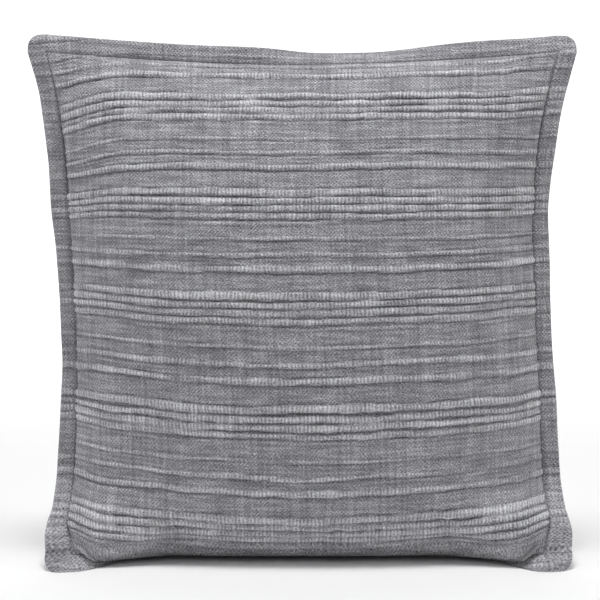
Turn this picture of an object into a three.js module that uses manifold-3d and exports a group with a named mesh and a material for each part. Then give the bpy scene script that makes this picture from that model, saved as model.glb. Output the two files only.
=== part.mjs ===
// A square throw pillow with a flat flange, standing on its lower edge.
// Millimetres, +Z up, the front face towards -Y, the origin on the floor below the middle.
import * as THREE from 'three';
import { mergeVertices } from 'three/addons/utils/BufferGeometryUtils.js';
import Module from 'manifold-3d';

const wasm = await Module();
wasm.setup();

// Outline of the body seam, where the cushion meets its flange
const sideSeamMiddle = 191; // half width at mid height
const sidePinch = 20; // the corners reach this much further out
const sidePinchPower = 2;
const topSeamMiddle = 413; // height above the floor
const topPinch = 9; // the corners reach this much higher
const topPinchPower = 1.6;
const flangeWidth = 15;

// Crown of the stuffed body
const crownDepth = 71;
const crownPower = 2.3;
const crownEdge = 0.62;
const bellyDrop = 0.1;

// The flat strip that the pillow stands on
const baseHalfDepth = 28;
const baseCornerDepth = 2.4;
const baseTaperPower = 3;
const baseBlend = 0.6; // share of the half height over which the base fades into the crown
const flangeLift = 1.8;
const cornerLiftPower = 8; // the base rises to the flange only close to the corners
const stripShare = 0.8; // the strip's last row, from its front edge to the seam

// Cloth and thread
const clothThickness = 1.2;
const layerGap = 0.3;
const threadRadius = 0.4;
const stitchOffset = 8; // the flange's stitch line, past the body seam
const cornerRise = 3; // the back stitch line leaves the sides this far above the lower flange
const cornerTurn = 12; // seam lines turn their lower corners within this height
const cornerDrop = 9; // and their upper corners within this drop
const cornerShare = 0.95;

// Insert
const insertClearance = 8;
const insertSlack = 4; // further in behind the zipper
const insertDepthShare = 0.94;
const tickingThickness = 0.8;
const tickingDepthShare = 0.012;
const fillClearance = 1.2;
const edgeThreadGap = 0.5;
const edgeThreadRoom = 0.25; // to the cover at the lower corners
const underThreadGap = 0.9;
const underThreadDrop = 1;
const closingStitchLength = 110;
const closingOffset = 3.8; // past the insert's edge and its seam thread

// Zipper across the lower back
const zipperLength = 280;
const zipperHeight = 76;
const zipperReach = 47; // distance of the tape from the middle plane
const zipperTilt = THREE.MathUtils.degToRad(15);
const zipperOpening = 5; // half width of the slot between the back panels
const flatBelow = 17; // flat cloth on each side of the zipper's centre line
const flatFade = 60;
const endMargin = 18; // flat cloth past each end of the chain
const maxFlatShare = 0.98;
const slotMargin = 4; // the slot stays fully open this far past the chain
const stitchRowInset = 3; // from the panels' turned edges
const tapeWidth = 14;
const tapeThickness = 0.6;
const tapeGap = 0.6; // from the centre line to the tape's inner edge
const tapeTail = 8;
const coilWidth = 2.5;
const coilHeight = 1.8;
const stopLength = 3;
const stopHeight = 2;
const fitGap = 0.3;

// Slider and pull tab
const sliderLength = 11;
const sliderPlate = 1.2;
const sliderWing = 0.9;
const bridgeWidth = 2;
const bridgeLength = 9;
const bridgeHeight = 3.4;
const bridgeWall = 1;
const tabLength = 27;
const tabWidth = 6.4;
const tabThickness = 1.2;
const tabEyeLength = 6;
const tabBar = 1.2;
const tabTurnGap = 0.1;

// Label
const labelWidth = 30;
const labelHeight = 16;
const labelThickness = 0.8;
const labelX = 60;
const labelDrop = 2; // below the slider's path

// Spans that the surfaces and seam lines are divided into
const panelSpans = 18;
const slotSpans = 10;
const upperSpans = 15;
const lowerSpans = 6;
const insertSpans = 16;
const lineSpans = 8;

const halfGap = layerGap / 2;
const clothFace = halfGap + clothThickness; // outer face of a flange layer
const panelInner = tapeThickness + fitGap; // panel faces measured from the tape's inner face
const panelOuter = panelInner + clothThickness;
const coilBase = tapeThickness + fitGap;
const coilTop = coilBase + coilHeight;
const plateBase = coilTop + fitGap;
const plateTop = plateBase + sliderPlate;
const wingInner = tapeGap + coilWidth + fitGap;
const sliderHalfWidth = wingInner + sliderWing;
const chainHalf = zipperLength / 2;
const coilHalf = chainHalf - stopLength - fitGap;
const sliderTravelHalf = coilHalf - sliderLength / 2;

const cloth = { color: 0x8d8d92, roughness: 0.95, metalness: 0 };
const ticking = { color: 0xece9e2, roughness: 0.95, metalness: 0 };
const metal = { color: 0x8a8c8f, roughness: 0.35, metalness: 1 };
const nylon = { color: 0x77777c, roughness: 0.6, metalness: 0 };

const pillow = new THREE.Group();

function addPart(name, geometry, look, parent = pillow) {
  const mesh = new THREE.Mesh(geometry, new THREE.MeshStandardMaterial(look));
  mesh.name = name;
  parent.add(mesh);
  return mesh;
}

// Outline and crown

function sideSeam(level) {
  return sideSeamMiddle + sidePinch * Math.abs(level) ** sidePinchPower;
}

function topSeam(across) {
  return topSeamMiddle + topPinch * Math.abs(across) ** topPinchPower;
}

function crown(share) {
  return Math.max(0, 1 - Math.abs(share) ** crownPower) ** crownEdge;
}

function baseTaper(across) {
  return Math.max(0, 1 - Math.abs(across) ** baseTaperPower);
}

function fade(value, full, none) {
  return 1 - THREE.MathUtils.smoothstep(value, full, none);
}

// A skin is one face of a cloth layer: how far it is inset along the seam, its reach from the
// middle plane at the seam, its depth at the crown, and its lowest level.
function coverSkin(outer, front) {
  const lowest = front ? 0 : flangeLift + clothThickness + layerGap;
  const inset = outer ? 0 : clothThickness;
  return {
    inset,
    reach: outer ? clothFace : halfGap,
    depth: crownDepth,
    floor: front ? inset : lowest + clothThickness - inset,
    base: baseHalfDepth,
    closure: outer ? panelOuter : panelInner,
  };
}

// The ticking and fill follow the cover, further in with each layer.
function insertSkin(layer, front) {
  const inset = insertClearance + layer * tickingThickness;
  const rise = front ? 0 : tickingThickness + layerGap;
  return {
    inset,
    reach: halfGap,
    depth: crownDepth * (insertDepthShare - layer * tickingDepthShare),
    floor: insertClearance + layer * tickingThickness + rise,
    base: baseHalfDepth - inset,
    closure: panelInner - insertClearance - insertSlack - layer * tickingThickness,
  };
}

function levelAt(skin, across, height) {
  const top = topSeam(across) - skin.inset;
  return THREE.MathUtils.clamp((2 * (height - skin.floor)) / (top - skin.floor) - 1, -1, 1);
}

function heightAt(skin, across, level) {
  const top = topSeam(across) - skin.inset;
  return skin.floor + ((level + 1) / 2) * (top - skin.floor);
}

function widthAt(skin, across, height) {
  return across * (sideSeam(levelAt(skin, across, height)) - skin.inset);
}

// Distance of a skin from the middle plane at a place on the crown
function crownReach(skin, across, height) {
  const level = levelAt(skin, across, height);
  const lean = level + bellyDrop * (1 - level * level);
  const base = skin.base * baseTaper(across) * fade(level, -1, baseBlend - 1);
  return skin.reach + base + skin.depth * crown(across) * crown(lean);
}

function frontPoint(skin, across, height) {
  const x = widthAt(skin, across, height);
  return new THREE.Vector3(x, -crownReach(skin, across, height), height);
}

// The back is drawn flat along the zipper, which doesn't stretch.
function backPoint(skin, across, height) {
  const x = widthAt(skin, across, height);
  const rise = height - zipperHeight;
  const side = sideSeam(levelAt(skin, across, height)) - skin.inset;
  const flatEnd = Math.min(chainHalf + endMargin, side - 1);
  const along = fade(Math.abs(x), flatEnd, side);
  const beyond = fade(Math.abs(rise) / Math.cos(zipperTilt), flatBelow, flatBelow + flatFade);
  const flat = zipperReach + rise * Math.tan(zipperTilt) + skin.closure / Math.cos(zipperTilt);
  const reach = THREE.MathUtils.lerp(crownReach(skin, across, height), flat, along * beyond);
  return new THREE.Vector3(x, reach, height);
}

// Columns and rows, closer together where the crown turns towards a seam

function spread(from, to, count) {
  const values = [];
  for (let step = 0; step <= count; step += 1) {
    values.push(from + (to - from) * (step / count));
  }
  return values;
}

function eased(count) {
  return spread(-1, 1, count).map((share) => Math.sin((share * Math.PI) / 2));
}

const panelColumns = eased(panelSpans);
const zipperSide = sideSeam(levelAt(coverSkin(false, false), 0, zipperHeight));
const closureShare = (chainHalf + slotMargin) / zipperSide;
const flatShare = Math.min((chainHalf + endMargin) / zipperSide, maxFlatShare);
// The last column before the seam lies no further in than the insert's corner.
const insertCorner = (sideSeam(1) - insertClearance) / (sideSeam(1) - clothThickness);
const lastShare = Math.max((flatShare + 7) / 8, insertCorner);
const outerColumns = [flatShare, (flatShare + 1) / 2, lastShare, 1];
const backColumns = [
  ...outerColumns.map((share) => -share).reverse(),
  ...spread(-closureShare, closureShare, slotSpans),
  ...outerColumns,
];

// A closed sheet of cloth: a box whose two large faces are laid on an outer and an inner skin
function sheet(columns, rows, place, thin = true) {
  const geometry = new THREE.BoxGeometry(1, 1, 1, columns, rows, 1);
  const position = geometry.getAttribute('position');
  for (let index = 0; index < position.count; index += 1) {
    const column = Math.round((position.getX(index) + 0.5) * columns);
    const row = Math.round((position.getY(index) + 0.5) * rows);
    const point = place(column, row, position.getZ(index) > 0);
    position.setXYZ(index, point.x, point.y, point.z);
  }
  if (thin) {
    alignDiagonals(geometry);
  }
  geometry.computeVertexNormals();
  return geometry;
}

// Both large faces of a sheet fold along the same diagonals, so the cloth keeps its thickness.
function alignDiagonals(geometry) {
  const index = geometry.getIndex();
  const inner = geometry.groups[5];
  for (let start = inner.start; start < inner.start + inner.count; start += 6) {
    const [a, b, d, , c] = Array.from({ length: 6 }, (unused, step) => index.getX(start + step));
    [a, b, c, a, c, d].forEach((vertex, step) => index.setX(start + step, vertex));
  }
}

// Cover

function seamBase(across) {
  return baseCornerDepth + (baseHalfDepth - baseCornerDepth) * baseTaper(across);
}

// A flange column or row lies past the last share of the body.
function splitShare(shares, index) {
  const body = THREE.MathUtils.clamp(index - 1, 0, shares.length - 1);
  return { across: shares[body], past: index - 1 - body };
}

function flangeSide(skin, across, height) {
  return Math.sign(across) * (sideSeam(levelAt(skin, across, height)) + flangeWidth);
}

function frontPanel() {
  const levels = eased(panelSpans);
  const strip = 3; // rows below the crown: flange edge, seam, and the back of the base strip
  const rows = strip + levels.length;
  return sheet(panelColumns.length + 1, rows, (column, row, outer) => {
    const skin = coverSkin(outer, true);
    const { across, past } = splitShare(panelColumns, column);
    const seam = seamBase(across);
    const front = baseHalfDepth * baseTaper(across);
    const cornerLift = flangeLift * Math.abs(across) ** cornerLiftPower;
    if (row < strip) {
      const depths = [seam + flangeWidth, seam, THREE.MathUtils.lerp(-front, seam, stripShare)];
      const lift = row < 2 ? flangeLift : cornerLift;
      const x = past === 0 ? widthAt(skin, across, skin.floor) : flangeSide(skin, across, skin.floor);
      return new THREE.Vector3(x, depths[row], skin.floor + lift);
    }
    const top = row === rows;
    const height = heightAt(skin, across, top ? 1 : levels[row - strip]);
    const point = frontPoint(skin, across, height);
    if (row === strip) {
      point.z += cornerLift;
    }
    if (past !== 0) {
      point.x = flangeSide(skin, across, height);
    }
    if (top) {
      point.z = topSeam(across) + flangeWidth;
    }
    return point;
  });
}

// Half width of the slot between the back panels: open over the zipper, closed past its ends
function slotHalf(x) {
  const open = fade(Math.abs(x), chainHalf + slotMargin, chainHalf + endMargin);
  return THREE.MathUtils.lerp(halfGap, zipperOpening, open);
}

function slotHeight(x, side) {
  return zipperHeight + side * slotHalf(x) * Math.cos(zipperTilt);
}

function backPanelUpper() {
  const steps = eased(upperSpans).map((share) => (share + 1) / 2);
  const rows = steps.length + 2;
  return sheet(backColumns.length + 1, rows, (column, row, outer) => {
    const skin = coverSkin(outer, false);
    const { across, past } = splitShare([...backColumns].reverse(), column);
    const slotX = across * sideSeamMiddle;
    const edge = slotHeight(slotX, 1);
    const flat = edge + (flatBelow - zipperOpening) * Math.cos(zipperTilt);
    const seam = heightAt(skin, across, 1);
    const top = row === rows;
    let height = edge;
    if (row > 0) {
      height = THREE.MathUtils.lerp(flat, seam, steps[Math.min(row - 1, steps.length - 1)]);
    }
    const point = backPoint(skin, across, height);
    if (past !== 0) {
      point.x = flangeSide(skin, across, height);
    }
    if (top) {
      point.z = topSeam(across) + flangeWidth;
    }
    return point;
  });
}

function backPanelLower() {
  const steps = spread(0, 1, lowerSpans).map((share) => 1 - Math.cos((share * Math.PI) / 2));
  const rows = steps.length + 1;
  return sheet(backColumns.length + 1, rows, (column, row, outer) => {
    const skin = coverSkin(outer, false);
    const { across, past } = splitShare([...backColumns].reverse(), column);
    const slotX = across * sideSeamMiddle;
    const edge = slotHeight(slotX, -1);
    const flat = edge - (flatBelow - zipperOpening) * Math.cos(zipperTilt);
    const seam = skin.floor;
    if (row === 0) {
      const x = past === 0 ? widthAt(skin, across, seam) : flangeSide(skin, across, seam);
      return new THREE.Vector3(x, seamBase(across) + flangeWidth, seam);
    }
    const height = row === rows ? edge : THREE.MathUtils.lerp(seam, flat, steps[row - 1]);
    const point = backPoint(skin, across, height);
    if (row === 1) {
      point.y = seamBase(across) + skin.reach;
    }
    if (past !== 0) {
      point.x = flangeSide(skin, across, height);
    }
    return point;
  });
}

addPart('front_panel', frontPanel(), cloth);
addPart('back_panel_upper', backPanelUpper(), cloth);
addPart('back_panel_lower', backPanelLower(), cloth);

// A closed loop of thread: a torus laid along a closed curve
function threadLoop(curve) {
  const ring = 10;
  const steps = curve.points.length * 2;
  const geometry = new THREE.TorusGeometry(ring, threadRadius, 6, steps);
  const position = geometry.getAttribute('position');
  const middle = new THREE.Vector3(0, 0, topSeamMiddle / 2);
  for (let index = 0; index < position.count; index += 1) {
    const turn = Math.atan2(position.getY(index), position.getX(index)) / (2 * Math.PI);
    const share = (Math.round((turn + 1) * steps) % steps) / steps;
    const outward = Math.hypot(position.getX(index), position.getY(index)) - ring;
    const centre = curve.getPoint(share);
    const tangent = curve.getTangent(share);
    const radial = centre.clone().sub(middle);
    radial.addScaledVector(tangent, -radial.dot(tangent)).normalize();
    const side = new THREE.Vector3().crossVectors(radial, tangent);
    const point = centre.addScaledVector(radial, outward).addScaledVector(side, position.getZ(index));
    position.setXYZ(index, point.x, point.y, point.z);
  }
  geometry.computeVertexNormals();
  return geometry;
}

// The line around three sides of a face and along the bottom, which lies further back
function seamCurve(skin, offset, face, bottomDepth, bottomHeight, foot = bottomHeight) {
  const points = [];
  const sideHeights = spread(bottomHeight + cornerTurn, topSeamMiddle - cornerDrop, lineSpans);
  const heights = [foot, foot + cornerRise, ...sideHeights];
  const sideAt = (height) => sideSeam(levelAt(skin, 1, height)) - skin.inset + offset;
  const corner = sideSeam(1) - skin.inset;
  const topLine = topSeam(1) - skin.inset + offset;
  for (const height of heights) {
    points.push(new THREE.Vector3(sideAt(height), face, height));
  }
  points.push(new THREE.Vector3(corner + offset, face, topLine));
  for (const across of spread(cornerShare, -cornerShare, lineSpans)) {
    points.push(new THREE.Vector3(across * corner, face, topSeam(across) - skin.inset + offset));
  }
  points.push(new THREE.Vector3(-corner - offset, face, topLine));
  for (const height of [...heights].reverse()) {
    points.push(new THREE.Vector3(-sideAt(height), face, height));
  }
  for (const across of [-1, ...spread(-cornerShare, cornerShare, lineSpans), 1]) {
    points.push(new THREE.Vector3(across * corner, bottomDepth(across), bottomHeight));
  }
  return new THREE.CatmullRomCurve3(points, true, 'centripetal');
}

const threadStand = fitGap + threadRadius;
const flangeDepth = (across) => seamBase(across) + stitchOffset + threadStand;
const underFlange = flangeLift - threadStand;
const overFlange = flangeLift + 2 * clothThickness + 2 * layerGap + threadStand;
const frontSkin = coverSkin(true, true);
const backSkin = coverSkin(true, false);
const backFoot = overFlange + cornerRise;
const stitchFace = clothFace + threadStand;
const frontLine = seamCurve(frontSkin, stitchOffset, -stitchFace, flangeDepth, underFlange);
const backLine = seamCurve(backSkin, stitchOffset, stitchFace, flangeDepth, overFlange, backFoot);
addPart('flange_thread_front', threadLoop(frontLine), cloth);
addPart('flange_thread_back', threadLoop(backLine), cloth);

// Insert

const insertShares = eased(insertSpans);

function insertFront() {
  return sheet(insertShares.length - 1, insertShares.length, (column, row, outer) => {
    const skin = insertSkin(outer ? 0 : 1, true);
    const across = insertShares[column];
    // The first row is the back edge of the insert's underside.
    if (row === 0) {
      const depth = baseCornerDepth + skin.base * baseTaper(across);
      return new THREE.Vector3(widthAt(skin, across, skin.floor), depth, skin.floor);
    }
    return frontPoint(skin, across, heightAt(skin, across, insertShares[row - 1]));
  });
}

function insertBack() {
  return sheet(insertShares.length - 1, insertShares.length - 1, (column, row, outer) => {
    const skin = insertSkin(outer ? 0 : 1, false);
    const across = insertShares[insertShares.length - 1 - column];
    const point = backPoint(skin, across, heightAt(skin, across, insertShares[row]));
    if (row === 0) {
      point.y = baseCornerDepth + skin.base * baseTaper(across);
    }
    return point;
  });
}

function insertFill() {
  const last = insertShares.length - 1;
  const place = (column, row, front) => {
    const skin = insertSkin(1 + fillClearance / tickingThickness, false);
    const across = insertShares[column];
    const height = heightAt(skin, across, insertShares[row]);
    return front ? frontPoint(skin, across, height) : backPoint(skin, across, height);
  };
  return sheet(last, last, place, false);
}

addPart('insert_front_ticking', insertFront(), ticking);
addPart('insert_back_ticking', insertBack(), ticking);
addPart('insert_fill', insertFill(), { color: 0xf6f5f2, roughness: 1, metalness: 0 });

const insertEdge = insertSkin(0, true);
const underStand = underThreadGap + threadRadius;
const edgeStand = edgeThreadGap + threadRadius;
const edgeHeight = insertClearance - underThreadDrop;
const coverLining = coverSkin(false, false);

// The cover's inner face runs straight from column to column.
function liningReach(across, height) {
  const next = Math.max(1, backColumns.findIndex((share) => share > across));
  const [from, to] = backColumns.slice(next - 1, next + 1);
  const [first, second] = [from, to].map((share) => crownReach(coverLining, share, height));
  return THREE.MathUtils.lerp(first, second, (across - from) / (to - from));
}

// The thread runs just behind the insert's lower edge, and clear of the cover at the corners.
function insertUnder(across) {
  const behind = baseCornerDepth + insertEdge.base * baseTaper(across) + underStand;
  const x = across * (sideSeam(1) - insertEdge.inset);
  const coverAcross = x / widthAt(coverLining, 1, edgeHeight);
  const room = liningReach(coverAcross, edgeHeight) - threadRadius - edgeThreadRoom;
  return Math.min(behind, room);
}

const edgeLine = seamCurve(insertEdge, edgeStand, 0, insertUnder, edgeHeight);
addPart('insert_edge_thread', threadLoop(edgeLine), ticking);

// Zipper, in a frame of its own: x along the chain, y up across it, z out of the cloth

const zipper = new THREE.Group();
const zipperBasis = new THREE.Matrix4().makeBasis(
  new THREE.Vector3(-1, 0, 0),
  new THREE.Vector3(0, Math.sin(zipperTilt), Math.cos(zipperTilt)),
  new THREE.Vector3(0, Math.cos(zipperTilt), -Math.sin(zipperTilt)),
);
zipper.quaternion.setFromRotationMatrix(zipperBasis);
zipper.position.set(0, zipperReach, zipperHeight);
pillow.add(zipper);

function block(name, size, at, look) {
  addPart(name, new THREE.BoxGeometry(...size), look, zipper).position.set(...at);
}

function coilBar() {
  const geometry = new THREE.CylinderGeometry(0.5, 0.5, 2 * coilHalf, 12);
  geometry.rotateZ(Math.PI / 2);
  geometry.scale(1, coilWidth, coilHeight);
  return geometry;
}

for (const [name, side] of [['upper', 1], ['lower', -1]]) {
  const tapeLength = zipperLength + 2 * tapeTail;
  const tapeMiddle = side * (tapeGap + tapeWidth / 2);
  const coilMiddle = side * (tapeGap + coilWidth / 2);
  const rowMiddle = side * (zipperOpening + stitchRowInset);
  const tapeSize = [tapeLength, tapeWidth, tapeThickness];
  block(`zipper_tape_${name}`, tapeSize, [0, tapeMiddle, tapeThickness / 2], nylon);
  const coil = addPart(`zipper_coil_${name}`, coilBar(), nylon, zipper);
  coil.position.set(0, coilMiddle, coilBase + coilHeight / 2);
  const row = addPart(
    `zipper_stitch_${name}`,
    new THREE.CylinderGeometry(threadRadius, threadRadius, zipperLength, 8).rotateZ(Math.PI / 2),
    cloth,
    zipper,
  );
  row.position.set(0, rowMiddle, panelOuter + threadStand);
  block(
    `zipper_top_stop_${name}`,
    [stopLength, coilWidth, stopHeight],
    [chainHalf - stopLength / 2, coilMiddle, coilBase + stopHeight / 2],
    metal,
  );
}
block(
  'zipper_bottom_stop',
  [stopLength, 2 * (tapeGap + coilWidth), stopHeight],
  [-chainHalf + stopLength / 2, 0, coilBase + stopHeight / 2],
  metal,
);
block(
  'care_label',
  [labelWidth, labelHeight, labelThickness],
  [labelX, -sliderHalfWidth - labelDrop - labelHeight / 2, -fitGap - labelThickness / 2],
  { color: 0xf4f3ef, roughness: 0.7, metalness: 0 },
);

// Slider: two plates joined by a web that runs between the coils, with wings beside them

function solidOf(geometry) {
  const bare = geometry.index ? geometry.toNonIndexed() : geometry.clone();
  bare.deleteAttribute('normal');
  bare.deleteAttribute('uv');
  const merged = mergeVertices(bare, 1e-4);
  return new wasm.Manifold(
    new wasm.Mesh({
      numProp: 3,
      vertProperties: merged.getAttribute('position').array,
      triVerts: new Uint32Array(merged.getIndex().array),
    }),
  );
}

function geometryOf(solid) {
  const mesh = solid.getMesh();
  const geometry = new THREE.BufferGeometry();
  geometry.setAttribute('position', new THREE.BufferAttribute(mesh.vertProperties, 3));
  geometry.setIndex(new THREE.BufferAttribute(mesh.triVerts, 1));
  geometry.computeVertexNormals();
  return geometry;
}

function outline(points) {
  return new THREE.Shape(points.map(([x, y]) => new THREE.Vector2(x, y)));
}

// Right half of the slider's cross-section; the left half mirrors it.
const webHalf = tapeGap - fitGap;
const crossSection = [
  [sliderHalfWidth, -fitGap - sliderPlate],
  [sliderHalfWidth, -fitGap],
  [webHalf, -fitGap],
  [webHalf, plateBase],
  [wingInner, plateBase],
  [wingInner, panelInner],
  [sliderHalfWidth, panelInner],
  [sliderHalfWidth, plateTop],
];

function sliderSolid() {
  const mirrored = crossSection.map(([across, up]) => [-across, up]).reverse();
  const body = new THREE.ExtrudeGeometry(outline([...crossSection, ...mirrored]), {
    depth: sliderLength,
    bevelEnabled: false,
  });
  body.translate(0, 0, -sliderLength / 2);
  // The section's x, y and the extrusion turn onto the zipper's y, z and x.
  body.applyMatrix4(
    new THREE.Matrix4().makeBasis(
      new THREE.Vector3(0, 1, 0),
      new THREE.Vector3(0, 0, 1),
      new THREE.Vector3(1, 0, 0),
    ),
  );
  return solidOf(body).add(solidOf(bridge()));
}

// The bridge is a bail along the slide direction, open underneath for the tab's bar.
function bridge() {
  const half = bridgeLength / 2;
  const inside = half - bridgeWall;
  const foot = plateTop - sliderPlate / 2;
  const top = plateTop + bridgeHeight;
  const bail = outline([
    [half, foot],
    [half, top - bridgeWall],
    [inside, top],
    [-inside, top],
    [-half, top - bridgeWall],
    [-half, foot],
    [-inside, foot],
    [-inside, top - bridgeWall],
    [inside, top - bridgeWall],
    [inside, foot],
  ]);
  const geometry = new THREE.ExtrudeGeometry(bail, { depth: bridgeWidth, bevelEnabled: false });
  geometry.translate(0, 0, -bridgeWidth / 2);
  geometry.rotateX(Math.PI / 2);
  return geometry;
}

// The tab's bar lies under the bridge, and its eye goes round the bridge as it swings.
function pullTab() {
  const half = tabWidth / 2;
  const bar = tabBar / 2;
  const shape = new THREE.Shape();
  shape.moveTo(bar, -half);
  shape.lineTo(bar, half);
  shape.lineTo(bar - tabLength + half, half);
  shape.absarc(bar - tabLength + half, 0, half, Math.PI / 2, (3 * Math.PI) / 2, false);
  const eyeHalf = bridgeWidth / 2 + 2 * fitGap;
  const eye = new THREE.Path(
    [
      [-bar, -eyeHalf],
      [-bar - tabEyeLength, -eyeHalf],
      [-bar - tabEyeLength, eyeHalf],
      [-bar, eyeHalf],
    ].map(([x, y]) => new THREE.Vector2(x, y)),
  );
  shape.holes.push(eye);
  const geometry = new THREE.ExtrudeGeometry(shape, {
    depth: tabThickness,
    bevelEnabled: false,
    curveSegments: 10,
  });
  geometry.translate(0, 0, -tabThickness / 2);
  return geometry;
}

const hingeHeight = plateTop + fitGap + (tabThickness * Math.SQRT2) / 2 + tabTurnGap;
const slider = new THREE.Group();
slider.position.set(sliderTravelHalf, 0, 0);
zipper.add(slider);
addPart('zipper_slider', geometryOf(sliderSolid()), metal, slider);
const tab = addPart('zipper_pull_tab', pullTab(), metal, slider);
tab.position.set(0, 0, hingeHeight);

// The insert's filling gap is closed by a short row of stitches beside its side seam.
const closing = addPart(
  'insert_closing_stitch',
  new THREE.CylinderGeometry(threadRadius, threadRadius, closingStitchLength, 8).rotateX(Math.PI / 2),
  ticking,
);
closing.position.set(sideSeamMiddle - insertClearance + closingOffset, 0, topSeamMiddle / 2);

export default pillow;
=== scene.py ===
"""A square throw pillow in a grey slub weave, with a flat flange, standing on its lower edge."""
import math

import bmesh
import bpy
import numpy as np
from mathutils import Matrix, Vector


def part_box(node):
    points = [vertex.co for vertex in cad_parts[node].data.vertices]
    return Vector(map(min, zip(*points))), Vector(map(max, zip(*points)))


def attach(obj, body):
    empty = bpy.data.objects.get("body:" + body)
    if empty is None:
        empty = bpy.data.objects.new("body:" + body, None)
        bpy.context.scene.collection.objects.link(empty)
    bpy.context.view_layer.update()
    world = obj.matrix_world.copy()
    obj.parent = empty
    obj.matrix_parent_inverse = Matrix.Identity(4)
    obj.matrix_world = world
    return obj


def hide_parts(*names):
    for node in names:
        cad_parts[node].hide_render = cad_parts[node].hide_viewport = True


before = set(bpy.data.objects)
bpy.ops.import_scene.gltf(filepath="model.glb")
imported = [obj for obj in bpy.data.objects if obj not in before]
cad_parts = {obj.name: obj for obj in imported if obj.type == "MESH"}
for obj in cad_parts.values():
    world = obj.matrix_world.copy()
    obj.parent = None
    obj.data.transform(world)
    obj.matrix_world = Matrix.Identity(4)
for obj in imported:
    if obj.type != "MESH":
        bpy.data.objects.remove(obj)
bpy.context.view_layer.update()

MM = 0.001

# Cloth coordinates run from the middle of a face (mm): u across, v up
HALF_U = 213.5
HALF_V = 222.0
FLANGE = 15.0

# The stuffed body (mm)
MIDDLE_HEIGHT = 214.0
CROWN = 70.0
BASE = 21.0  # half depth of the strip it stands on
EAR_FORWARD = 52.0  # the lower corners reach forward
FLANGE_REST = 1.8
OVERHANG = 4.0  # the swelling past the seam at the sides
CORNER_IN = 8.0  # the lower corners are drawn in this far
GRID = 145  # rows and columns of the body's cloth


def middle_of(node):
    low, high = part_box(node)
    return (np.array(low) + np.array(high)) / 2 / MM


# The zipper's line across the back (mm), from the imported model
COIL_RISE = 1.8
coil_upper, coil_lower = middle_of("zipper_coil_upper"), middle_of("zipper_coil_lower")
ZIP_TILT = math.atan2(coil_upper[1] - coil_lower[1], coil_upper[2] - coil_lower[2])
ALONG = np.array([-1.0, 0.0, 0.0])
UP = np.array([0.0, math.sin(ZIP_TILT), math.cos(ZIP_TILT)])
OUT = np.array([0.0, math.cos(ZIP_TILT), -math.sin(ZIP_TILT)])
ZIP_POINT = (coil_upper + coil_lower) / 2 - COIL_RISE * OUT
CHAIN_HALF = float(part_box("zipper_stitch_upper")[1][0]) / MM
SLOT = 5.0  # half width of the opening over the coils
PANEL_FACE = 2.1  # outer face of the panels, from the tapes' inner face
FLAT_PAST = 18  # flat cloth past each end of the chain
FLAT_BESIDE = 17  # flat cloth on each side of the chain
FLAT_FADE = 60


# Small tools

def smooth(value, low, high):
    share = np.clip((value - low) / (high - low), 0, 1)
    return share * share * (3 - 2 * share)


def mix(a, b, share):
    return a + (b - a) * share


def wander(value, seed, pitch):
    """Smooth noise along a line, -1 to 1, with a new value every pitch."""
    knots = np.random.default_rng(seed).uniform(-1, 1, 1024)
    place = np.asarray(value, float) / pitch + 400
    cell = np.floor(place).astype(int)
    return mix(knots[cell % 1024], knots[(cell + 1) % 1024], smooth(place - cell, 0, 1))


def patches(across, up, seed, pitch_across, pitch_up):
    """Smooth noise over a surface, -1 to 1."""
    knots = np.random.default_rng(seed).uniform(-1, 1, (512, 512))
    a, b = across / pitch_across + 256, up / pitch_up + 256
    i, j = np.floor(a).astype(int), np.floor(b).astype(int)
    p, q = smooth(a - i, 0, 1), smooth(b - j, 0, 1)
    i, j, k, m = i % 512, j % 512, (i + 1) % 512, (j + 1) % 512
    return mix(mix(knots[j, i], knots[j, k], p), mix(knots[m, i], knots[m, k], p), q)


def unit(vectors):
    return vectors / np.maximum(np.linalg.norm(vectors, axis=-1, keepdims=True), 1e-9)


def grid_normals(points):
    return unit(np.cross(np.gradient(points, axis=1), np.gradient(points, axis=0)))


def sample(grid, column, row):
    """Bicubic (Catmull-Rom) values of a grid at fractional columns and rows."""
    def weights(place, count):
        place = np.clip(place, 0, count - 1 - 1e-6)
        cell = np.floor(place).astype(int)
        t = (place - cell)[..., None]
        basis = np.concatenate([
            -0.5 * t ** 3 + t ** 2 - 0.5 * t,
            1.5 * t ** 3 - 2.5 * t ** 2 + 1,
            -1.5 * t ** 3 + 2 * t ** 2 + 0.5 * t,
            0.5 * t ** 3 - 0.5 * t ** 2,
        ], axis=-1)
        return basis, np.clip(cell[..., None] + np.arange(-1, 3), 0, count - 1)

    rows, columns = grid.shape[:2]
    column, row = np.broadcast_arrays(column, row)
    across, i = weights(column, columns)
    up, j = weights(row, rows)
    total = 0
    for a in range(4):
        for b in range(4):
            total = total + (up[..., a] * across[..., b])[..., None] * grid[j[..., a], i[..., b]]
    return total


def link(name, mesh):
    piece = bpy.data.objects.new(name, mesh)
    bpy.context.scene.collection.objects.link(piece)
    return piece


def grid_faces(rows, columns, flip=False):
    index = np.arange(rows * columns).reshape(rows, columns)
    quads = np.stack([index[:-1, :-1], index[:-1, 1:], index[1:, 1:], index[1:, :-1]], axis=-1)
    quads = quads.reshape(-1, 4)
    return quads[:, ::-1] if flip else quads


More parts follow.
